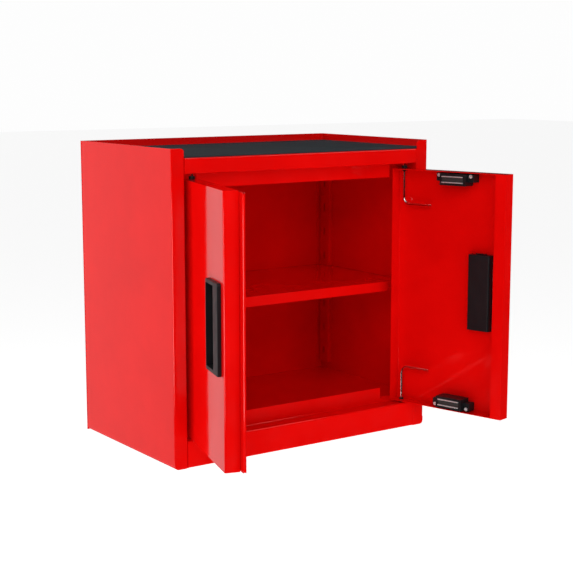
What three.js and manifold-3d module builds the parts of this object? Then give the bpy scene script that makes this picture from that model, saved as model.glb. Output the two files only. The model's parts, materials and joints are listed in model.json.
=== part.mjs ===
// Hanging wall cabinet in folded sheet steel: a carcass with a matted tray on top, two pan doors hung on
// bent pivot rods, magnetic catches and one adjustable shelf.
// Millimetres, +Z up, +Y towards the wall, doors facing -Y. The origin is the centre of the back panel's
// rear face, where the cabinet meets the wall. Both doors are modelled standing open.
import * as THREE from "three";
import { mergeVertices } from "three/addons/utils/BufferGeometryUtils.js";
import Module from "manifold-3d";

const wasm = await Module();
wasm.setup();

// ---- driving dimensions ----------------------------------------------------------------------------

const WIDTH = 606;
const DEPTH = 365;
const HEIGHT = 600;
const SHEET = 1.2; // steel sheet of the carcass, doors and shelf
const FOLD = 2.4; // centre-line radius of every fold
const GAP = 0.3; // between pieces that touch or are welded together

const POST_WIDTH = 28; // front face of a side panel
const POST_RETURN = 20; // how far the post folds back inside
const POST_CORNER = 9; // rounding of the post's inner top corner
const SIDE_FOOT = 20; // width of the side panel's folded-in foot
const FOOT_FOLD = 8; // outer radius of that fold
const REAR_FLANGE = 16; // flange of a side panel behind which the back panel is welded

const RIM = 17.5; // how far the sides and back stand above the tray
const TRAY_EDGE = 15; // folded-down side and rear edges of the tray
const TOP_RAIL = 29.5; // height of the top rail's front face
const BOTTOM_RAIL = 52; // height of the bottom rail's front face
const STOP_HEIGHT_TOP = 29; // the doors' stop behind each rail
const STOP_HEIGHT_BOTTOM = 31;
const STOP_END_TOP = 72; // side of the cabinet to the end of the upper stop
const STOP_END_BOTTOM = 90;
const RAIL_FOOT = 22; // flange under the bottom rail
const RAIL_END = 19; // depth of the flanges at the rails' ends
const FLOOR_HEIGHT = 60;
const FLOOR_NOTCH = [82, 9]; // cut out of the floor's front corners for the doors' hinge edges
const FLANGE = 15; // folded-down edges of the floor and the shelf

const MAT_THICKNESS = 3;
const MAT_MARGIN = 2.5;
const MAT_CORNER = 3;

const PIVOT_SIDE = 50; // side of the cabinet to a door's pivot
const PIVOT_DEPTH = 12; // front plane to the pivot
const LEFT_OPEN = 106.4; // degrees the left door stands open
const RIGHT_OPEN = 104.4;
const DOOR_THICKNESS = 27.5;
const DOOR_HEEL_GAP = 3.5; // post to the hinge edge of a closed door
const DOOR_GAP = 3; // between the two closed doors
const DOOR_TOP_GAP = 11; // top rail to a door
const DOOR_BOTTOM_GAP = 5; // bottom rail to a door
const DOOR_RETURN = 24; // return flange at a door's free edge

const LIP_THICKNESS = 5.5; // meeting strip on the left door, a flattened fold
const LIP_SEAT = 18; // how far it lies on the return flange
const LIP_REACH = 21; // how far it passes the left door's free edge
const LIP_CORNER = 6;
const LIP_SHORT = 2; // shorter than the door at each end

const ROD_RADIUS = 3;
const ROD_HOLE_CLEARANCE = 0.7;
const ROD_TIP = 8; // rod end beyond the rail it pivots in
const ROD_LENGTH = 72; // door edge to the middle of the tail
const ROD_BEND = 14;
const ROD_TAIL = 68; // pivot to the end of the tail
const BUSH_RADIUS = 5.8;
const BUSH_NECK_RADIUS = 4.4;
const BUSH_NECK = 5; // neck inside the door
const BUSH_COLLAR = 6; // collar of the upper bush; the lower one fills its gap

const CUP_START = 159; // pivot to a handle's cup
const CUP_WIDTH = 51;
const CUP_LENGTH = 152;
const CUP_DEPTH = 14; // behind the door's outer face
const CUP_WALL = 2.2;
const CUP_CORNER = 4; // rounding of the cup's long edges inside the door
const GRIP_WIDTH = 26; // raised grip between the cup and the door's free edge
const HANDLE_RIM = 1.5; // frame beyond the cup towards the pivot
const HANDLE_RAISE = 3.5; // middle of a door to the middle of its handle
const HANDLE_LENGTH = 162;
const HANDLE_PROUD = 7;
const HANDLE_CORNER = 5;
const HANDLE_CHAMFER = 1.8;
const SNAP = [24, 3.5, 2]; // snap rib: along, through and across the door's edge

const CATCH_CENTRE = 130; // pivot to the middle of a catch
const CATCH_EDGE = 15.5; // door edge to the middle of a catch
const CATCH_BODY = [60, 23.5]; // along the door, up
const CATCH_EAR = [88, 16];
const CATCH_STEP = 10; // face of the body to the faces of the ears
const CATCH_SCREW_PITCH = 75;
const CATCH_SCREW_OFFSET = 7.5; // screws sit nearer the door's edge
const POLE_LENGTH = 49;
const POLE_THICKNESS = 1.8;
const POLE_SPACING = 11.6;
const POLE_ROOT = 8; // poles inside the catch
const POLE_PROUD = 2.2;
const POLE_GAP = 0.4; // poles of a closed door to the stop
const MAGNET_SUNK = 0.6;
const SCREW_RADIUS = 1.7;
const SCREW_HEAD_RADIUS = 3.6;
const SCREW_HEAD = 2.1;
const SCREW_SLOT = [4, 0.9, 1]; // cross recess: long, wide, deep
const SCREW_LENGTH = 16;

const UPRIGHT_WIDTH = 36;
const UPRIGHT_DEPTH = 8.5;
const UPRIGHT_BASE = 76;
const UPRIGHT_TOP = 44.5; // tray to the tops of the uprights
const UPRIGHT_FRONT = 58; // front plane to the front uprights
const UPRIGHT_REAR = 4.2; // back panel to the rear uprights
const SLOT_PITCH = 55;
const SLOT_FIRST = 27; // end of an upright to its lowest slot's middle
const SLOT_SIZE = [4.5, 16];

const SHELF_HEIGHT = 302; // top of the shelf
const SHELF_FRONT = 60; // front plane to the shelf
const SHELF_LIP = 20;
const SHELF_LIP_END = 51; // side of the cabinet to the end of the lip
const SHELF_LIP_CORNER = 4;
const SHELF_CORNER = 6; // shelf's front corners behind its lip
const SHELF_BACK_GAP = 5;
const SHELF_GAP = 2.2; // between the shelf and what it slides past
const CLIP_SHEET = 1.6;
const CLIP_WIDTH = 20;
const CLIP_LEDGE = 14;
const CLIP_TONGUE = 5;

const HANGER_HEIGHT = 40;
const HANGER_THICKNESS = 2.5;
const HANGER_TOP = 17; // tray to the hanging rail
const HANGER_END = 20; // side of the cabinet to the hanging rail
const KEYHOLE_PITCH = 400;
const KEYHOLE_HEAD = 6.5; // radius that a screw head passes
const KEYHOLE_SLOT = 3.2; // half width of the slot that the screw hangs in
const KEYHOLE_RISE = 12;

const FOLD_STEPS = 4;
const ROUND_STEPS = 5;
const ROD_STEPS = 6;
const ROD_SIDES = 14;

// ---- worked-out places -----------------------------------------------------------------------------

const SIDE = WIDTH / 2;
const FRONT = -DEPTH;
const TRAY = HEIGHT - RIM; // top of the tray's sheet
const RAIL_UNDERSIDE = TRAY - TOP_RAIL;
const WALL = SIDE - SHEET; // inner face of a side panel
const BACK_FACE = -SHEET; // inner face of the back panel
const FLANGE_FACE = BACK_FACE - GAP - SHEET; // front of the side panels' rear flanges
const DOOR_TOP = RAIL_UNDERSIDE - DOOR_TOP_GAP;
const DOOR_BOTTOM = BOTTOM_RAIL + DOOR_BOTTOM_GAP;
const DOOR_HEEL = PIVOT_SIDE - POST_WIDTH - DOOR_HEEL_GAP; // pivot to the hinge edge of a door
const DOOR_REACH = SIDE - PIVOT_SIDE - DOOR_GAP / 2; // pivot to the free edge
const SKIN = PIVOT_DEPTH; // pivot to the door's outer face
const DOOR_BACK = DOOR_THICKNESS - PIVOT_DEPTH; // pivot to the door's inner plane
const STOP_FACE = DOOR_THICKNESS + GAP + LIP_THICKNESS + GAP; // front plane to the stops
const POLE_FACE = STOP_FACE - PIVOT_DEPTH - POLE_GAP; // pivot to the ends of the poles
const SKIN_INSIDE = SKIN - SHEET; // pivot to the inner face of a door's skin
const CATCH_FACE = POLE_FACE - POLE_PROUD; // pivot to the face of a catch
const EAR_FACE = CATCH_FACE - CATCH_STEP;
const HANDLE_HEIGHT = (DOOR_TOP + DOOR_BOTTOM) / 2 + HANDLE_RAISE;
const UPRIGHT_LENGTH = TRAY - UPRIGHT_TOP - UPRIGHT_BASE;
const UPRIGHT_FACE = WALL - GAP - UPRIGHT_DEPTH;
const UPRIGHT_PLACES = {
  front: FRONT + UPRIGHT_FRONT + UPRIGHT_WIDTH / 2,
  rear: BACK_FACE - UPRIGHT_REAR - UPRIGHT_WIDTH / 2,
};

// ---- materials -------------------------------------------------------------------------------------

const paint = new THREE.MeshStandardMaterial({ color: 0xd2100c, roughness: 0.22, metalness: 0.0 });
const blackPlastic = new THREE.MeshStandardMaterial({ color: 0x17181b, roughness: 0.4, metalness: 0.0 });
const rubber = new THREE.MeshStandardMaterial({ color: 0x39434d, roughness: 0.7, metalness: 0.0 });
const chrome = new THREE.MeshStandardMaterial({ color: 0xc9c6c4, roughness: 0.22, metalness: 1.0 });
const zinc = new THREE.MeshStandardMaterial({ color: 0xaeb0b4, roughness: 0.38, metalness: 1.0 });
const ferrite = new THREE.MeshStandardMaterial({ color: 0x2a2a2c, roughness: 0.6, metalness: 0.3 });

// ---- solids ----------------------------------------------------------------------------------------

// A closed geometry as a manifold-3d solid.
function solid(geometry) {
  const bare = geometry.index ? geometry.toNonIndexed() : geometry.clone();
  bare.deleteAttribute("normal");
  bare.deleteAttribute("uv");
  const merged = mergeVertices(bare, 1e-4);
  const triVerts = new Uint32Array(merged.index.array);
  const vertProperties = new Float32Array(merged.attributes.position.array);
  return new wasm.Manifold(new wasm.Mesh({ numProp: 3, vertProperties, triVerts }));
}

function geometryOf(made) {
  const mesh = made.getMesh();
  const geometry = new THREE.BufferGeometry();
  geometry.setAttribute("position", new THREE.BufferAttribute(mesh.vertProperties, 3));
  geometry.setIndex(new THREE.BufferAttribute(mesh.triVerts, 1));
  return geometry;
}

const join = (...solids) => solids.reduce((sum, next) => sum.add(next));
const cut = (body, ...tools) => tools.reduce((rest, tool) => rest.subtract(tool), body);
const span = (middle, length) => [middle - length / 2, middle + length / 2];
const ordered = (a, b) => [Math.min(a, b), Math.max(a, b)];

function box([x0, x1], [y0, y1], [z0, z1]) {
  const geometry = new THREE.BoxGeometry(x1 - x0, y1 - y0, z1 - z0);
  return solid(geometry.translate((x0 + x1) / 2, (y0 + y1) / 2, (z0 + z1) / 2));
}

// A cylinder with its axis on +Z through (x, y).
function post(radius, [x, y], [z0, z1], sides = 16) {
  const geometry = new THREE.CylinderGeometry(radius, radius, z1 - z0, sides);
  return solid(geometry.rotateX(Math.PI / 2).translate(x, y, (z0 + z1) / 2));
}

// A cylinder with its axis on +Y through (x, z).
function pin(radius, [x, z], [y0, y1], sides = 16) {
  const geometry = new THREE.CylinderGeometry(radius, radius, y1 - y0, sides);
  return solid(geometry.translate(x, (y0 + y1) / 2, z));
}

const extrusion = (shape, depth) =>
  new THREE.ExtrudeGeometry(shape, { depth, bevelEnabled: false, curveSegments: ROUND_STEPS });

// A shape whose axes are X and Y pulled up from z0 to z1.
function pullUp(shape, [z0, z1]) {
  return solid(extrusion(shape, z1 - z0).translate(0, 0, z0));
}

// A shape whose axes are Y and Z pulled sideways from x0 to x1.
function pullAcross(shape, [x0, x1]) {
  const turn = new THREE.Matrix4().set(0, 0, 1, x0, 1, 0, 0, 0, 0, 1, 0, 0, 0, 0, 0, 1);
  return solid(extrusion(shape, x1 - x0).applyMatrix4(turn));
}

// A shape whose axes are X and Z pulled from y0 back to y1.
function pullBack(shape, [y0, y1]) {
  return solid(extrusion(shape, y1 - y0).rotateX(Math.PI / 2).translate(0, y1, 0));
}

// The outline of a sheet folded at each corner of its centre line.
function foldedSheet(corners, radius = FOLD) {
  const points = corners.map(([x, y]) => new THREE.Vector2(x, y));
  const left = [];
  const right = [];
  const mark = (at, along) => {
    const side = new THREE.Vector2(-along.y, along.x).multiplyScalar(SHEET / 2);
    left.push(at.clone().add(side));
    right.unshift(at.clone().sub(side));
  };
  const towards = (from, to) => to.clone().sub(from).normalize();
  mark(points[0], towards(points[0], points[1]));
  for (let i = 1; i < points.length - 1; i++) {
    const before = towards(points[i - 1], points[i]);
    const after = towards(points[i], points[i + 1]);
    const turn = Math.atan2(before.cross(after), before.dot(after));
    const start = points[i].clone().addScaledVector(before, -radius * Math.tan(Math.abs(turn) / 2));
    const inwards = new THREE.Vector2(-before.y, before.x).multiplyScalar(Math.sign(turn) * radius);
    const centre = start.clone().add(inwards);
    for (let step = 0; step <= FOLD_STEPS; step++) {
      const angle = (turn * step) / FOLD_STEPS;
      const at = start.clone().rotateAround(centre, angle);
      mark(at, before.clone().rotateAround(new THREE.Vector2(), angle));
    }
  }
  const last = points.length - 1;
  mark(points[last], towards(points[last - 1], points[last]));
  return new THREE.Shape([...left, ...right]);
}

function roundedRectangle([x0, x1], [y0, y1], radius) {
  const shape = new THREE.Shape();
  shape.moveTo(x0 + radius, y0);
  shape.absarc(x1 - radius, y0 + radius, radius, -Math.PI / 2, 0, false);
  shape.absarc(x1 - radius, y1 - radius, radius, 0, Math.PI / 2, false);
  shape.absarc(x0 + radius, y1 - radius, radius, Math.PI / 2, Math.PI, false);
  shape.absarc(x0 + radius, y0 + radius, radius, Math.PI, 1.5 * Math.PI, false);
  return shape;
}

// What rounding takes off a corner at (x, z) whose material lies towards (sideways, upwards).
function cornerWaste([x, z], radius, [sideways, upwards], [y0, y1]) {
  const square = box(
    ordered(x - sideways, x + sideways * radius),
    [y0, y1],
    ordered(z - upwards, z + upwards * radius),
  );
  const round = pin(radius, [x + sideways * radius, z + upwards * radius], [y0 - 1, y1 + 1], 4 * FOLD_STEPS);
  return cut(square, round);
}

// ---- assembly --------------------------------------------------------------------------------------

const cabinet = new THREE.Group();
cabinet.name = "hanging_wall_cabinet";
cabinet.position.z = -HEIGHT / 2;

function place(group, name, made, material) {
  const mesh = new THREE.Mesh(geometryOf(made), material);
  mesh.name = name;
  group.add(mesh);
}

// Everything of one side is drawn on the left; the right side is its mirror image.
function sideGroup(side) {
  const group = new THREE.Group();
  if (side === "right") group.scale.x = -1;
  cabinet.add(group);
  return group;
}

// ---- carcass ---------------------------------------------------------------------------------------

// One sheet: rear flange, side, front post with its return, and a foot folded in under the side.
function sidePanel() {
  const face = -SIDE + SHEET / 2;
  const flange = BACK_FACE - GAP - SHEET / 2;
  const postFace = FRONT + SHEET / 2;
  const postEdge = -SIDE + POST_WIDTH - SHEET / 2;
  const outline = foldedSheet([
    [-SIDE + REAR_FLANGE, flange],
    [face, flange],
    [face, postFace],
    [postEdge, postFace],
    [postEdge, FRONT + POST_RETURN],
  ]);
  const clearOfTray = TRAY - SHEET - GAP;
  const returnTop = box(
    [-SIDE + SHEET + FOLD, -SIDE + POST_WIDTH + 1],
    [FRONT + SHEET, FRONT + POST_RETURN + 1],
    [clearOfTray, HEIGHT + 1],
  );
  const flangeTop = box(
    [-SIDE + SHEET + GAP, -SIDE + REAR_FLANGE + 1],
    [FLANGE_FACE - FOLD, 0],
    [clearOfTray, TRAY + GAP],
  );
  const postSheet = [FRONT - 1, FRONT + SHEET + FOLD];
  const topCorner = cornerWaste([-SIDE + POST_WIDTH, HEIGHT], POST_CORNER, [-1, -1], postSheet);
  const footWaste = cornerWaste([-SIDE, 0], FOOT_FOLD, [1, 1], [FRONT - 1, 1]);
  const footOutline = foldedSheet(
    [
      [-SIDE + SIDE_FOOT, SHEET / 2],
      [face, SHEET / 2],
      [face, 2 * FOOT_FOLD],
    ],
    FOOT_FOLD - SHEET / 2,
  );
  const foot = pullBack(footOutline, [FRONT + SHEET / 2, FLANGE_FACE]);
  return join(cut(pullUp(outline, [0, HEIGHT]), returnTop, flangeTop, topCorner, footWaste), foot);
}

// Keyholes through everything between two depths.
function keyholes([y0, y1]) {
  const [low, high] = span(TRAY - HANGER_TOP - HANGER_HEIGHT / 2, KEYHOLE_RISE);
  return span(0, KEYHOLE_PITCH).map((x) =>
    join(
      pin(KEYHOLE_HEAD, [x, low], [y0, y1]),
      pin(KEYHOLE_SLOT, [x, high], [y0, y1]),
      box(span(x, 2 * KEYHOLE_SLOT), [y0, y1], [low, high]),
    ),
  );
}

function backPanel() {
  const sheet = box([-SIDE, SIDE], [BACK_FACE, 0], [0, HEIGHT]);
  return cut(sheet, ...keyholes([BACK_FACE - 1, 1]));
}

// A flat bar inside the back panel that strengthens it round the keyholes.
function hangingRail() {
  const back = BACK_FACE - GAP;
  const front = back - HANGER_THICKNESS;
  const top = TRAY - HANGER_TOP;
  const strip = box(span(0, WIDTH - 2 * HANGER_END), [front, back], [top - HANGER_HEIGHT, top]);
  return cut(strip, ...keyholes([front - 1, back + 1]));
}

const RAIL_SPAN = span(0, WIDTH - 2 * POST_WIDTH - 2 * GAP); // the rails fit between the posts
const STOP_MIDDLE = FRONT + STOP_FACE + SHEET / 2;

// Both ends of a stop are cut short, clear of the doors' hinge edges.
function stopEnds(end, heights) {
  return [-1, 1].map((side) =>
    box(
      ordered(side * (SIDE - end), side * (SIDE + 1)),
      [FRONT + STOP_FACE - FOLD, FRONT + STOP_FACE + SHEET + 1],
      heights,
    ),
  );
}

// Flanges folded back at both ends of a rail, against the posts.
function railEnds(heights) {
  return [-1, 1].map((side) =>
    box(
      ordered(side * (RAIL_SPAN[1] - SHEET), side * RAIL_SPAN[1]),
      [FRONT + SHEET / 2, FRONT + RAIL_END],
      heights,
    ),
  );
}

function pivotHoles(heights) {
  const holes = span(0, WIDTH - 2 * PIVOT_SIDE);
  return holes.map((x) => post(ROD_RADIUS + ROD_HOLE_CLEARANCE, [x, FRONT + PIVOT_DEPTH], heights));
}

// One sheet: tray, top rail, the rail's underside and the stop that hangs from it.
function topPanel() {
  const rail = foldedSheet([
    [FRONT + POST_RETURN, TRAY - SHEET / 2],
    [FRONT + SHEET / 2, TRAY - SHEET / 2],
    [FRONT + SHEET / 2, RAIL_UNDERSIDE + SHEET / 2],
    [STOP_MIDDLE, RAIL_UNDERSIDE + SHEET / 2],
    [STOP_MIDDLE, RAIL_UNDERSIDE - STOP_HEIGHT_TOP],
  ]);
  const half = WALL - GAP;
  const back = BACK_FACE - GAP;
  const flangeHeights = [TRAY - TRAY_EDGE, TRAY];
  const tray = box([-half, half], [FRONT + SHEET + FOLD, back], [TRAY - SHEET, TRAY]);
  const flangeDepth = [FRONT + 2 * POST_RETURN, FLANGE_FACE - FOLD];
  const sideFlanges = [-1, 1].map((side) =>
    box(ordered(side * (half - SHEET), side * half), flangeDepth, flangeHeights),
  );
  const rearFlange = box(span(0, WIDTH - 2 * REAR_FLANGE - 2 * FOLD), [back - SHEET, back], flangeHeights);
  return cut(
    join(pullAcross(rail, RAIL_SPAN), tray, ...sideFlanges, rearFlange, ...railEnds([RAIL_UNDERSIDE, TRAY])),
    ...stopEnds(STOP_END_TOP, [RAIL_UNDERSIDE - STOP_HEIGHT_TOP - 1, RAIL_UNDERSIDE + SHEET + FOLD]),
    ...pivotHoles([RAIL_UNDERSIDE - 1, RAIL_UNDERSIDE + SHEET + 1]),
  );
}

// One sheet: foot flange, bottom rail, its ledge and the stop that stands on it.
function bottomRail() {
  const rail = foldedSheet([
    [FRONT + RAIL_FOOT, SHEET / 2],
    [FRONT + SHEET / 2, SHEET / 2],
    [FRONT + SHEET / 2, BOTTOM_RAIL - SHEET / 2],
    [STOP_MIDDLE, BOTTOM_RAIL - SHEET / 2],
    [STOP_MIDDLE, BOTTOM_RAIL + STOP_HEIGHT_BOTTOM],
  ]);
  return cut(
    join(pullAcross(rail, RAIL_SPAN), ...railEnds([0, BOTTOM_RAIL])),
    ...stopEnds(STOP_END_BOTTOM, [BOTTOM_RAIL - SHEET - FOLD, BOTTOM_RAIL + STOP_HEIGHT_BOTTOM + 1]),
    ...pivotHoles([BOTTOM_RAIL - SHEET - 1, BOTTOM_RAIL + 1]),
  );
}

// A flat outline with a flange folded down all round it.
function foldedTray(outlineAt, top) {
  const hollow = pullUp(outlineAt(SHEET), [top - FLANGE - 1, top - SHEET]);
  return cut(pullUp(outlineAt(0), [top - FLANGE, top]), hollow);
}

// A symmetrical outline from its right-hand points.
function mirrored(points) {
  const left = points.map(([x, y]) => [-x, y]).reverse();
  return new THREE.Shape([...points, ...left].map(([x, y]) => new THREE.Vector2(x, y)));
}

function floorPanel() {
  const outlineAt = (inset) => {
    const edge = WALL - GAP - inset;
    const front = STOP_MIDDLE + SHEET / 2 + GAP + inset;
    const notch = [SIDE - FLOOR_NOTCH[0] - inset, front + FLOOR_NOTCH[1]];
    return mirrored([
      [notch[0], front],
      [notch[0], notch[1]],
      [edge, notch[1]],
      [edge, FLANGE_FACE - FOLD - inset],
    ]);
  };
  return foldedTray(outlineAt, FLOOR_HEIGHT);
}

function trayMat() {
  const half = WALL - MAT_MARGIN;
  const depth = [FRONT + SHEET + MAT_MARGIN, FLANGE_FACE - MAT_MARGIN];
  const heights = [TRAY + GAP, TRAY + GAP + MAT_THICKNESS];
  return pullUp(roundedRectangle([-half, half], depth, MAT_CORNER), heights);
}

place(cabinet, "back_panel", backPanel(), paint);
place(cabinet, "hanging_rail", hangingRail(), paint);
place(cabinet, "top_panel", topPanel(), paint);
place(cabinet, "bottom_rail", bottomRail(), paint);
place(cabinet, "floor_panel", floorPanel(), paint);
place(cabinet, "tray_mat", trayMat(), rubber);

// ---- shelf and its supports ------------------------------------------------------------------------

const SLOT_COUNT = Math.floor((UPRIGHT_LENGTH - 2 * SLOT_FIRST) / SLOT_PITCH) + 1;
const slotHeight = (index) => UPRIGHT_BASE + SLOT_FIRST + index * SLOT_PITCH;
const CLIP_TOP = SHELF_HEIGHT - FLANGE - GAP; // the shelf's flanges rest on the clips
const CLIP_DROP = CLIP_SHEET + SLOT_SIZE[1] / 2; // the least from a clip's top to its slot's middle
const CLIP_SLOT = slotHeight(Math.floor((CLIP_TOP - CLIP_DROP - slotHeight(0)) / SLOT_PITCH));

// A channel on the side wall, open towards it, with a row of slots.
function upright(y) {
  const foot = -WALL + GAP;
  const web = -UPRIGHT_FACE - SHEET / 2;
  const [front, rear] = span(y, UPRIGHT_WIDTH - SHEET);
  const outline = foldedSheet([
    [foot, front],
    [web, front],
    [web, rear],
    [foot, rear],
  ]);
  const slots = Array.from({ length: SLOT_COUNT }, (_, index) =>
    box([web - SHEET, web + SHEET], span(y, SLOT_SIZE[0]), span(slotHeight(index), SLOT_SIZE[1])),
  );
  return cut(pullUp(outline, [UPRIGHT_BASE, UPRIGHT_BASE + UPRIGHT_LENGTH]), ...slots);
}

// A bent steel clip: a tongue in the slot, a web on the upright and a ledge under the shelf.
function shelfClip(y) {
  const face = -UPRIGHT_FACE + GAP;
  const across = span(y, CLIP_WIDTH);
  const web = box([face, face + CLIP_SHEET], across, [CLIP_SLOT - SLOT_SIZE[1] / 2, CLIP_TOP]);
  const ledge = box([face, face + CLIP_LEDGE], across, [CLIP_TOP - CLIP_SHEET, CLIP_TOP]);
  const tongue = box(
    [face - CLIP_TONGUE, face + CLIP_SHEET],
    span(y, SLOT_SIZE[0] - 2 * GAP),
    span(CLIP_SLOT, SLOT_SIZE[1] - 2 * GAP),
  );
  return join(web, ledge, tongue);
}

function shelf() {
  const front = FRONT + SHELF_FRONT;
  const lipEnd = SIDE - SHELF_LIP_END;
  const outlineAt = (inset) => {
    const edge = WALL - SHELF_GAP - inset;
    const atUprights = UPRIGHT_FACE - SHELF_GAP - inset;
    const half = UPRIGHT_WIDTH / 2 + SHELF_GAP + inset;
    return mirrored([
      [lipEnd - inset, front + inset],
      [lipEnd - inset, front + SHELF_CORNER + inset],
      [atUprights, front + SHELF_CORNER + inset],
      [atUprights, UPRIGHT_PLACES.front + half],
      [edge, UPRIGHT_PLACES.front + half],
      [edge, UPRIGHT_PLACES.rear - half],
      [atUprights, UPRIGHT_PLACES.rear - half],
      [atUprights, FLANGE_FACE - SHELF_BACK_GAP - inset],
    ]);
  };
  const sheet = [front, front + SHEET];
  const bottom = SHELF_HEIGHT - SHELF_LIP;
  const lip = box([-lipEnd, lipEnd], sheet, [bottom, SHELF_HEIGHT]);
  const lipCorners = [-1, 1].map((side) =>
    cornerWaste([side * lipEnd, bottom], SHELF_LIP_CORNER, [-side, 1], [front - 1, front + SHEET]),
  );
  return join(foldedTray(outlineAt, SHELF_HEIGHT), cut(lip, ...lipCorners));
}

place(cabinet, "shelf", shelf(), paint);

for (const side of ["left", "right"]) {
  const group = sideGroup(side);
  place(group, `${side}_side_panel`, sidePanel(), paint);
  for (const [end, y] of Object.entries(UPRIGHT_PLACES)) {
    place(group, `${side}_${end}_upright`, upright(y), paint);
    place(group, `${side}_${end}_shelf_clip`, shelfClip(y), zinc);
  }
}

// ---- doors -----------------------------------------------------------------------------------------
// A door is drawn closed: its pivot is the Z axis, +X runs to its free edge and -Y faces out.

// One sheet with all four edges folded back, and a return at the free edge.
function doorPanel() {
  const edges = [-DOOR_HEEL, DOOR_REACH];
  const inside = [-DOOR_HEEL + SHEET, DOOR_REACH - SHEET];
  const heights = [DOOR_BOTTOM, DOOR_TOP];
  const between = [DOOR_BOTTOM + SHEET, DOOR_TOP - SHEET];
  const outer = join(
    pullUp(roundedRectangle(edges, [-SKIN, 0], FOLD + SHEET / 2), heights),
    box(edges, [-SKIN / 2, DOOR_BACK], heights),
  );
  const hollow = join(
    pullUp(roundedRectangle(inside, [-SKIN_INSIDE, 0], FOLD - SHEET / 2), between),
    box(inside, [-SKIN / 2, DOOR_BACK - SHEET], between),
  );
  const mouth = box([inside[0], DOOR_REACH - DOOR_RETURN], [0, DOOR_BACK + 1], between);
  const cupHole = box(
    [CUP_START - GAP, CUP_START + CUP_WIDTH + GAP],
    [-SKIN - 1, 0],
    span(HANDLE_HEIGHT, CUP_LENGTH + 2 * GAP),
  );
  const bushHoles = post(BUSH_NECK_RADIUS + GAP, [0, 0], [DOOR_BOTTOM - 1, DOOR_TOP + 1]);
  return cut(outer, hollow, mouth, cupHole, bushHoles);
}

// A strip folded flat, welded to the return flange, that closes the gap between the doors.
function meetingStrip() {
  const near = DOOR_BACK + GAP + SHEET / 2;
  const far = near + LIP_THICKNESS - SHEET;
  const tip = DOOR_REACH + LIP_REACH;
  const outline = foldedSheet(
    [
      [DOOR_REACH - LIP_SEAT, near],
      [tip - SHEET / 2, near],
      [tip - SHEET / 2, far],
      [DOOR_REACH - LIP_SEAT / 2, far],
    ],
    (far - near) / 2 - GAP / 4,
  );
  const ends = [DOOR_BOTTOM + LIP_SHORT, DOOR_TOP - LIP_SHORT];
  const corners = [
    cornerWaste([tip, ends[0]], LIP_CORNER, [-1, 1], [DOOR_BACK, DOOR_BACK + 2 * LIP_THICKNESS]),
    cornerWaste([tip, ends[1]], LIP_CORNER, [-1, -1], [DOOR_BACK, DOOR_BACK + 2 * LIP_THICKNESS]),
  ];
  return cut(pullUp(outline, ends), ...corners);
}

// A recessed pull: a raised frame outside the door, a cup through it, and a hollow grip to hook behind.
function handle() {
  const seat = -SKIN - GAP;
  const front = -SKIN - HANDLE_PROUD;
  const cup = [CUP_START, CUP_START + CUP_WIDTH];
  const frame = roundedRectangle(
    [cup[0] - HANDLE_RIM + HANDLE_CHAMFER, cup[1] + GRIP_WIDTH - HANDLE_CHAMFER],
    span(HANDLE_HEIGHT, HANDLE_LENGTH - 2 * HANDLE_CHAMFER),
    HANDLE_CORNER - HANDLE_CHAMFER,
  );
  const bevelled = new THREE.ExtrudeGeometry(frame, {
    depth: HANDLE_PROUD,
    bevelThickness: HANDLE_CHAMFER,
    bevelSize: HANDLE_CHAMFER,
    bevelSegments: 2,
    curveSegments: 3,
  });
  const raised = solid(bevelled.rotateX(Math.PI / 2).translate(0, front + HANDLE_CHAMFER + HANDLE_PROUD, 0));
  const behindSkin = box(
    [cup[0] - 2 * HANDLE_RIM, cup[1] + GRIP_WIDTH + 1],
    [seat, 0],
    span(HANDLE_HEIGHT, HANDLE_LENGTH + 2),
  );
  const long = span(HANDLE_HEIGHT, CUP_LENGTH);
  const bowl = join(
    box(cup, [seat - 1, -SKIN_INSIDE + GAP], long),
    pullUp(roundedRectangle(cup, [seat, CUP_DEPTH - SKIN], CUP_CORNER), long),
  );
  const room = [cup[0] + CUP_WALL, cup[1] - CUP_WALL];
  const tall = span(HANDLE_HEIGHT, CUP_LENGTH - 2 * CUP_WALL);
  const space = box(room, [front - 1, CUP_DEPTH - SKIN - CUP_WALL], tall);
  const underGrip = box([room[0], cup[1] + GRIP_WIDTH - CUP_WALL], [front + CUP_WALL, seat + 1], tall);
  const snapDepth = [GAP - SKIN_INSIDE, GAP - SKIN_INSIDE + SNAP[1]];
  const snaps = long.map((z) =>
    box(span((cup[0] + cup[1]) / 2, SNAP[0]), snapDepth, span(z, 2 * SNAP[2])),
  );
  return cut(join(cut(raised, behindSkin), bowl, ...snaps), space, underGrip);
}

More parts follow.
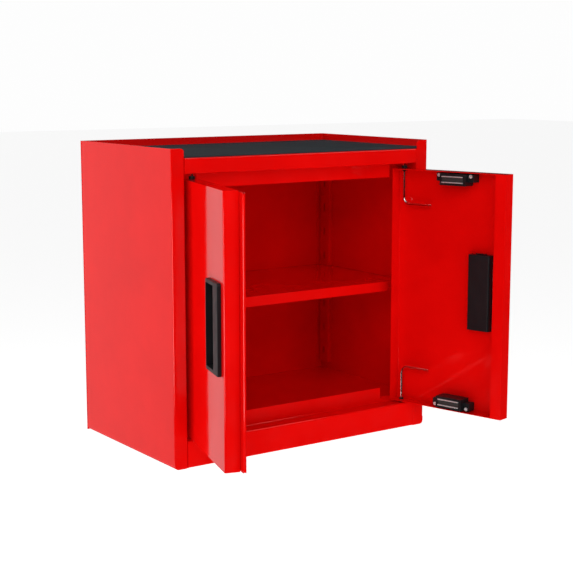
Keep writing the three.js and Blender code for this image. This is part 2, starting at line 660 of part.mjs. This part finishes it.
// A round rod: straight on the pivot, a bend, and a tail towards the free edge.
function pivotRod(tip, tail) {
  const direction = Math.sign(tip - tail);
  const start = tail + direction * ROD_BEND;
  const rings = [[0, tip, 0]];
  for (let step = 0; step <= ROD_STEPS; step++) {
    const angle = (step * Math.PI) / 2 / ROD_STEPS;
    rings.push([ROD_BEND * (1 - Math.cos(angle)), start - direction * ROD_BEND * Math.sin(angle), angle]);
  }
  rings.push([ROD_TAIL, tail, Math.PI / 2]);
  const corners = rings.flatMap(([x, z, angle]) =>
    Array.from({ length: ROD_SIDES }, (_, side) => {
      const around = (2 * Math.PI * side) / ROD_SIDES;
      const out = ROD_RADIUS * Math.cos(around);
      return new THREE.Vector3(
        x + out * Math.cos(angle),
        direction * ROD_RADIUS * Math.sin(around),
        z + direction * out * Math.sin(angle),
      );
    }),
  );
  const faces = [];
  for (let ring = 0; ring < rings.length - 1; ring++) {
    for (let side = 0; side < ROD_SIDES; side++) {
      const a = ring * ROD_SIDES + side;
      const b = ring * ROD_SIDES + ((side + 1) % ROD_SIDES);
      faces.push(a, a + ROD_SIDES, b, b, a + ROD_SIDES, b + ROD_SIDES);
    }
  }
  const end = (rings.length - 1) * ROD_SIDES;
  for (let side = 1; side < ROD_SIDES - 1; side++) {
    faces.push(0, side, side + 1);
    faces.push(end, end + side + 1, end + side);
  }
  const geometry = new THREE.BufferGeometry().setFromPoints(corners);
  geometry.setIndex(faces);
  return solid(geometry);
}

function bush(edge, direction, collar) {
  const seat = edge + direction * GAP;
  const outer = join(
    post(BUSH_RADIUS, [0, 0], ordered(seat, seat + direction * collar), 20),
    post(BUSH_NECK_RADIUS, [0, 0], ordered(seat + direction, edge - direction * BUSH_NECK), 20),
  );
  const bore = post(ROD_RADIUS + GAP, [0, 0], span(edge, 4 * BUSH_COLLAR + 2 * BUSH_NECK), 20);
  return cut(outer, bore);
}

// ---- magnetic catches ------------------------------------------------------------------------------

const YOKE_HEIGHT = POLE_SPACING + POLE_THICKNESS;
const YOKE_BACK = CATCH_FACE - POLE_ROOT;

function catchHousing(z, direction) {
  const seat = GAP - SKIN_INSIDE;
  const body = box(span(CATCH_CENTRE, CATCH_BODY[0]), [seat, CATCH_FACE], span(z, CATCH_BODY[1]));
  const earEdge = z + (direction * CATCH_BODY[1]) / 2;
  const ears = box(
    span(CATCH_CENTRE, CATCH_EAR[0]),
    [seat, EAR_FACE],
    ordered(earEdge, earEdge - direction * CATCH_EAR[1]),
  );
  const pocket = box(
    span(CATCH_CENTRE, POLE_LENGTH + 2 * GAP),
    [YOKE_BACK - GAP, CATCH_FACE + 1],
    span(z, YOKE_HEIGHT + 2 * GAP),
  );
  const bores = screwPlaces(z, direction).map((at) =>
    pin(SCREW_RADIUS + GAP, at, [seat - 1, EAR_FACE + 1], 12),
  );
  return cut(join(body, ears), pocket, ...bores);
}

// A steel channel: its two edges are the poles.
function poleYoke(z) {
  const along = span(CATCH_CENTRE, POLE_LENGTH);
  const channel = box(along, [YOKE_BACK, POLE_FACE], span(z, YOKE_HEIGHT));
  const slot = box(
    [along[0] - 1, along[1] + 1],
    [YOKE_BACK + POLE_THICKNESS, POLE_FACE + 1],
    span(z, POLE_SPACING - POLE_THICKNESS),
  );
  return cut(channel, slot);
}

function magnet(z) {
  return box(
    span(CATCH_CENTRE, POLE_LENGTH - 2 * GAP),
    [YOKE_BACK + POLE_THICKNESS + GAP, CATCH_FACE - MAGNET_SUNK],
    span(z, POLE_SPACING - POLE_THICKNESS - 2 * GAP),
  );
}

function screwPlaces(z, direction) {
  return span(CATCH_CENTRE, CATCH_SCREW_PITCH).map((x) => [x, z + direction * CATCH_SCREW_OFFSET]);
}

function screw([x, z]) {
  const seat = EAR_FACE + GAP;
  const top = seat + SCREW_HEAD;
  const [long, wide, deep] = SCREW_SLOT;
  return cut(
    join(
      pin(SCREW_HEAD_RADIUS, [x, z], [seat, top], 14),
      pin(SCREW_RADIUS, [x, z], [seat - SCREW_LENGTH, seat + SCREW_HEAD / 2], 12),
    ),
    box(span(x, long), [top - deep, top + 1], span(z, wide)),
    box(span(x, wide), [top - deep, top + 1], span(z, long)),
  );
}

// ---- hang the doors --------------------------------------------------------------------------------

for (const [side, open] of [["left", LEFT_OPEN], ["right", RIGHT_OPEN]]) {
  const door = new THREE.Group();
  door.position.set(-SIDE + PIVOT_SIDE, FRONT + PIVOT_DEPTH, 0);
  door.rotation.z = -THREE.MathUtils.degToRad(open);
  sideGroup(side).add(door);
  place(door, `${side}_door_panel`, doorPanel(), paint);
  place(door, `${side}_door_handle`, handle(), blackPlastic);
  if (side === "left") place(door, "left_door_meeting_strip", meetingStrip(), paint);
  const ends = [
    ["upper", DOOR_TOP, 1, RAIL_UNDERSIDE, BUSH_COLLAR],
    ["lower", DOOR_BOTTOM, -1, BOTTOM_RAIL, DOOR_BOTTOM_GAP - 2 * GAP],
  ];
  for (const [end, edge, direction, rail, collar] of ends) {
    const tail = edge - direction * ROD_LENGTH;
    const name = `${side}_${end}`;
    place(door, `${name}_pivot_rod`, pivotRod(rail + direction * ROD_TIP, tail), chrome);
    place(door, `${name}_pivot_bush`, bush(edge, direction, collar), blackPlastic);
    const middle = edge - direction * CATCH_EDGE;
    place(door, `${name}_catch_housing`, catchHousing(middle, direction), blackPlastic);
    place(door, `${name}_catch_yoke`, poleYoke(middle), zinc);
    place(door, `${name}_catch_magnet`, magnet(middle), ferrite);
    const [hingeScrew, edgeScrew] = screwPlaces(middle, direction);
    place(door, `${name}_catch_hinge_side_screw`, screw(hingeScrew), zinc);
    place(door, `${name}_catch_free_side_screw`, screw(edgeScrew), zinc);
  }
}

export default cabinet;
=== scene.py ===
import json
import math

import bpy
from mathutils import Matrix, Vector


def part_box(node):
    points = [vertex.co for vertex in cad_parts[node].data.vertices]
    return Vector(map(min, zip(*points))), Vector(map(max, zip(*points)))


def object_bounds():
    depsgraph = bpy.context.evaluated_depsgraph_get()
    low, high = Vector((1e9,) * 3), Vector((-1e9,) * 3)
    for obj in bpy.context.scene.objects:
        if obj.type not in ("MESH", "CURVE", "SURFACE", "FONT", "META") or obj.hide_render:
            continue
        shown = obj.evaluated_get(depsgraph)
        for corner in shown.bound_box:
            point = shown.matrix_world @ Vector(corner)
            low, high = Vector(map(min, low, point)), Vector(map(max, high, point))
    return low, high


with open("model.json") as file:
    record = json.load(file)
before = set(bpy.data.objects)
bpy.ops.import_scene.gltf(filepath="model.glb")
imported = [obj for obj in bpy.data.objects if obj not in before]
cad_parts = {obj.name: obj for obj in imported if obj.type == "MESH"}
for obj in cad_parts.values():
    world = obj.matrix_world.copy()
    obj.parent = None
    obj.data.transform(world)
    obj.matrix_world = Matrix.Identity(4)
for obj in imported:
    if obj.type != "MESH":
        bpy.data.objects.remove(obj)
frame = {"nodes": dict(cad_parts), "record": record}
cad_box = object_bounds()
NODES = frame["nodes"]

# ---- camera ----------------------------------------------------------------------------------------

AZIMUTH = math.radians(-34.83)
ELEVATION = math.radians(9.03)
DISTANCE = 2.782
FOCAL_PIXELS = 1342
IMAGE_PIXELS = 573
SENSOR = 36.0
TARGET = (0.355, 0.146, 0.298)  # from the left side, the front and the bottom of the carcass

FLOOR_DROP = 0.75  # the cabinet hangs this far above the floor
FLOOR_SIZE = 30
WELD = 0.00002
EDGE_ANGLE = math.radians(32)
EDGE_WIDTH = {
    "red_paint": 0.0004,
    "black_plastic": 0.0006,
    "rubber": 0.0005,
    "chrome": 0.0003,
    "zinc": 0.0002,
    "ferrite": 0.0003,
}
BACKDROP = 0.985  # what the camera sees behind the cabinet


def add_camera():
    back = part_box("back_panel")
    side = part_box("left_side_panel")
    target = Vector((side[0][0], side[0][1], back[0][2])) + Vector(TARGET)
    away = Vector((
        math.sin(AZIMUTH) * math.cos(ELEVATION),
        -math.cos(AZIMUTH) * math.cos(ELEVATION),
        math.sin(ELEVATION),
    ))
    data = bpy.data.cameras.new("camera")
    data.sensor_width = SENSOR
    data.lens = FOCAL_PIXELS / IMAGE_PIXELS * SENSOR
    data.clip_end = 100
    camera = bpy.data.objects.new("camera", data)
    camera.location = target + away * DISTANCE
    camera.rotation_euler = (-away).to_track_quat("-Z", "Y").to_euler()
    bpy.context.scene.collection.objects.link(camera)
    bpy.context.scene.camera = camera


# ---- materials -------------------------------------------------------------------------------------


class Shader:
    """A material with a few short ways to add nodes to it."""

    def __init__(self, name):
        self.material = bpy.data.materials.new(name)
        self.material.use_nodes = True
        self.tree = self.material.node_tree
        self.surface = self.tree.nodes["Principled BSDF"]
        self.place = self.node("ShaderNodeTexCoord").outputs["Object"]

    def node(self, kind, **settings):
        made = self.tree.nodes.new(kind)
        for key, value in settings.items():
            setattr(made, key, value)
        return made

    def feed(self, node, **values):
        for key, value in values.items():
            socket = node.inputs[key.replace("_", " ")]
            if hasattr(value, "is_output"):
                self.tree.links.new(value, socket)
            else:
                socket.default_value = value
        return node

    def set(self, **values):
        self.feed(self.surface, **values)

    def noise(self, scale, detail=2.0, roughness=0.5, place=None):
        made = self.node("ShaderNodeTexNoise")
        self.feed(made, Vector=place or self.place, Scale=scale, Detail=detail, Roughness=roughness)
        return made.outputs["Fac"]

    def stretched(self, scale):
        made = self.node("ShaderNodeMapping")
        self.feed(made, Vector=self.place, Scale=scale)
        return made.outputs["Vector"]

    def spread(self, value, low, high, out_low, out_high):
        made = self.node("ShaderNodeMapRange")
        self.feed(made, Value=value, From_Min=low, From_Max=high, To_Min=out_low, To_Max=out_high)
        return made.outputs["Result"]

    def blend(self, fac, a, b):
        made = self.node("ShaderNodeMix", data_type="RGBA")
        fac_in, a_in, b_in = made.inputs[0], made.inputs[6], made.inputs[7]
        self.tree.links.new(fac, fac_in)
        for socket, value in ((a_in, a), (b_in, b)):
            if hasattr(value, "is_output"):
                self.tree.links.new(value, socket)
            else:
                socket.default_value = (*value, 1)
        return made.outputs[2]

    def calculate(self, operation, a, b):
        made = self.node("ShaderNodeMath", operation=operation)
        for socket, value in zip(made.inputs, (a, b)):
            if hasattr(value, "is_output"):
                self.tree.links.new(value, socket)
            else:
                socket.default_value = value
        return made.outputs[0]

    def bump(self, height, distance, strength=1.0, normal=None):
        made = self.node("ShaderNodeBump")
        self.feed(made, Height=height, Distance=distance, Strength=strength)
        if normal:
            self.feed(made, Normal=normal)
        return made.outputs["Normal"]


def red_paint():
    """Glossy powder coat: slightly cloudy colour, fine darker flecks and orange peel."""
    s = Shader("red_powder_coat")
    cloud = s.noise(9, 3)
    colour = s.blend(s.spread(cloud, 0.3, 0.7, 0, 1), (0.78, 0.0016, 0.0012), (0.86, 0.0024, 0.0018))
    fleck = s.spread(s.noise(2600, 1), 0.68, 0.8, 0, 0.35)
    colour = s.blend(fleck, colour, (0.62, 0.001, 0.001))
    peel = s.noise(420, 2)
    wave = s.noise(60, 2)
    height = s.calculate("ADD", peel, s.calculate("MULTIPLY", wave, 1.6))
    normal = s.bump(height, 0.00003, 0.25)
    haze = s.spread(s.noise(35, 4), 0.35, 0.65, 0.05, 0.1)
    s.set(
        Base_Color=colour,
        Roughness=haze,
        Normal=normal,
        IOR=1.5,
        Coat_Weight=0.1,
        Coat_Roughness=0.04,
        Coat_IOR=1.5,
    )
    return s.material


def black_plastic():
    """Moulded plastic: fine spark-eroded grain with patches a little smoother than the rest."""
    s = Shader("black_moulding")
    grain = s.noise(1900, 3, 0.6)
    soft = s.noise(40, 3)
    colour = s.blend(soft, (0.007, 0.0072, 0.0085), (0.012, 0.0122, 0.014))
    normal = s.bump(grain, 0.00009, 0.5)
    s.set(
        Base_Color=colour,
        Roughness=s.spread(soft, 0.3, 0.7, 0.3, 0.44),
        Normal=normal,
        Specular_IOR_Level=0.3,
    )
    return s.material


def mat_rubber():
    """Ribbed blue-grey matting with a fine random grain."""
    s = Shader("mat_rubber")
    ribs = s.node("ShaderNodeTexWave", wave_type="BANDS", bands_direction="X", wave_profile="SIN")
    s.feed(ribs, Vector=s.place, Scale=95, Distortion=0.0)
    grain = s.noise(1500, 3, 0.7)
    patch = s.noise(12, 4)
    colour = s.blend(s.spread(patch, 0.3, 0.7, 0, 1), (0.025, 0.032, 0.037), (0.034, 0.043, 0.050))
    colour = s.blend(s.spread(grain, 0.5, 0.8, 0, 0.5), colour, (0.04, 0.05, 0.058))
    fine = s.bump(grain, 0.0002, 0.5)
    normal = s.bump(ribs.outputs["Fac"], 0.0004, 0.5, fine)
    s.set(
        Base_Color=colour,
        Roughness=s.spread(grain, 0.3, 0.7, 0.6, 0.8),
        Normal=normal,
        Specular_IOR_Level=0.2,
    )
    return s.material


def bright_wire():
    """Bright drawn steel: faint scratches round the wire and cloudy plating."""
    s = Shader("bright_wire")
    scratch = s.noise(900, 2, 0.5, s.stretched((1, 1, 0.08)))
    cloud = s.noise(160, 3)
    colour = s.blend(cloud, (0.78, 0.76, 0.75), (0.92, 0.91, 0.90))
    s.set(
        Base_Color=colour,
        Metallic=1.0,
        Roughness=s.spread(scratch, 0.3, 0.7, 0.13, 0.24),
        Normal=s.bump(scratch, 0.00003, 0.4),
    )
    return s.material


def zinc_plate():
    """Zinc-plated pressings: fine rolling lines and a mottled sheen."""
    s = Shader("zinc_plate")
    lines = s.noise(1400, 2, 0.5, s.stretched((0.15, 0.15, 1)))
    mottle = s.node("ShaderNodeTexVoronoi", feature="F1")
    s.feed(mottle, Vector=s.place, Scale=700)
    colour = s.blend(mottle.outputs["Distance"], (0.78, 0.79, 0.80), (0.93, 0.93, 0.93))
    s.set(
        Base_Color=colour,
        Metallic=0.7,
        Roughness=s.spread(lines, 0.3, 0.7, 0.34, 0.48),
        Normal=s.bump(lines, 0.00003, 0.5),
    )
    return s.material


def ferrite():
    """Dark grey sintered magnet with a coarse grain."""
    s = Shader("sintered_ferrite")
    grain = s.noise(2200, 4, 0.7)
    colour = s.blend(grain, (0.012, 0.012, 0.013), (0.05, 0.048, 0.046))
    s.set(
        Base_Color=colour,
        Roughness=s.spread(grain, 0.3, 0.7, 0.5, 0.75),
        Normal=s.bump(grain, 0.0001, 0.7),
    )
    return s.material


def finish_nodes():
    """Each CAD node keeps its shape, gets softened edges and the material of its slot."""
    slots = {entry["node"]: entry["material_slot"] for entry in frame["record"]["subparts"]}
    made = {
        "red_paint": red_paint(),
        "black_plastic": black_plastic(),
        "rubber": mat_rubber(),
        "chrome": bright_wire(),
        "zinc": zinc_plate(),
        "ferrite": ferrite(),
    }
    for name, node in NODES.items():
        slot = slots[name]
        node.data.materials.clear()
        node.data.materials.append(made[slot])
        for polygon in node.data.polygons:
            polygon.use_smooth = True
        weld = node.modifiers.new("weld", "WELD")
        weld.merge_threshold = WELD
        bevel = node.modifiers.new("soft_edges", "BEVEL")
        bevel.width = EDGE_WIDTH[slot]
        bevel.segments = 2
        bevel.limit_method = "ANGLE"
        bevel.angle_limit = EDGE_ANGLE
        bevel.use_clamp_overlap = True
        flatten = node.modifiers.new("flat_faces", "WEIGHTED_NORMAL")
        flatten.weight = 100


# ---- studio ----------------------------------------------------------------------------------------


def add_floor():
    low = cad_box[0]
    size = FLOOR_SIZE
    mesh = bpy.data.meshes.new("floor")
    z = low[2] - FLOOR_DROP
    mesh.from_pydata(
        [(-size, -size, z), (size, -size, z), (size, size, z), (-size, size, z)], [], [(0, 1, 2, 3)]
    )
    floor = bpy.data.objects.new("floor", mesh)
    bpy.context.scene.collection.objects.link(floor)
    s = Shader("pale_floor")
    tone = s.noise(3, 3)
    colour = s.blend(tone, (0.90, 0.90, 0.895), (0.93, 0.93, 0.925))
    s.set(Base_Color=colour, Roughness=0.8, Emission_Color=(1, 1, 1, 1), Emission_Strength=0.9)
    mesh.materials.append(s.material)
    floor.visible_glossy = False


def add_light(name, place, target, size, power, glossy=True, diffuse=True):
    data = bpy.data.lights.new(name, "AREA")
    data.shape = "RECTANGLE"
    data.size, data.size_y = size
    data.energy = power
    light = bpy.data.objects.new(name, data)
    light.location = place
    light.rotation_euler = (Vector(target) - Vector(place)).to_track_quat("-Z", "Y").to_euler()
    light.visible_glossy = glossy
    light.visible_diffuse = diffuse
    bpy.context.scene.collection.objects.link(light)


def add_studio():
    scene = bpy.context.scene
    scene.view_settings.view_transform = "Standard"
    scene.view_settings.look = "None"
    world = bpy.data.worlds.new("studio")
    scene.world = world
    world.use_nodes = True
    tree = world.node_tree
    background = tree.nodes["Background"]
    direction = tree.nodes.new("ShaderNodeTexCoord").outputs["Generated"]
    lean = tree.nodes.new("ShaderNodeVectorMath")
    lean.operation = "DOT_PRODUCT"
    lean.inputs[1].default_value = (-0.1, 0.995, 0.0)
    tree.links.new(direction, lean.inputs[0])
    ramp = tree.nodes.new("ShaderNodeMapRange")
    ramp.interpolation_type = "SMOOTHSTEP"
    for key, value in (("From Min", 0.6), ("From Max", 1.0), ("To Min", 0.0), ("To Max", 0.55)):
        ramp.inputs[key].default_value = value
    tree.links.new(lean.outputs["Value"], ramp.inputs["Value"])
    seen = tree.nodes.new("ShaderNodeLightPath").outputs["Is Camera Ray"]
    pick = tree.nodes.new("ShaderNodeMix")
    tree.links.new(seen, pick.inputs["Factor"])
    tree.links.new(ramp.outputs["Result"], pick.inputs["A"])
    pick.inputs["B"].default_value = BACKDROP
    tree.links.new(pick.outputs["Result"], background.inputs["Strength"])
    background.inputs["Color"].default_value = (1, 1, 1, 1)
    add_light("key", (-2.2, -2.6, 2.0), (0, -0.2, 0), (2.2, 2.2), 46)
    add_light("front_fill", (-0.2, -3.4, 1.2), (0, -0.3, 0), (2.0, 2.0), 24, glossy=False)
    add_light("side_wash", (-2.5, 1.5, 0.8), (-0.3, -0.2, 0), (1.6, 1.6), 34, glossy=False)
    add_light("edge_glow", (2.0, -2.0, 2.0), (0, -0.3, 0), (1.4, 1.4), 9)
    add_light("low_left", (-2.4, -1.0, -0.35), (0, -0.4, 0), (0.9, 0.7), 9, diffuse=False)
    add_light("top", (0, 0, 2.6), (0, 0, 0), (2.4, 2.4), 15)


add_camera()
finish_nodes()
add_floor()
add_studio()
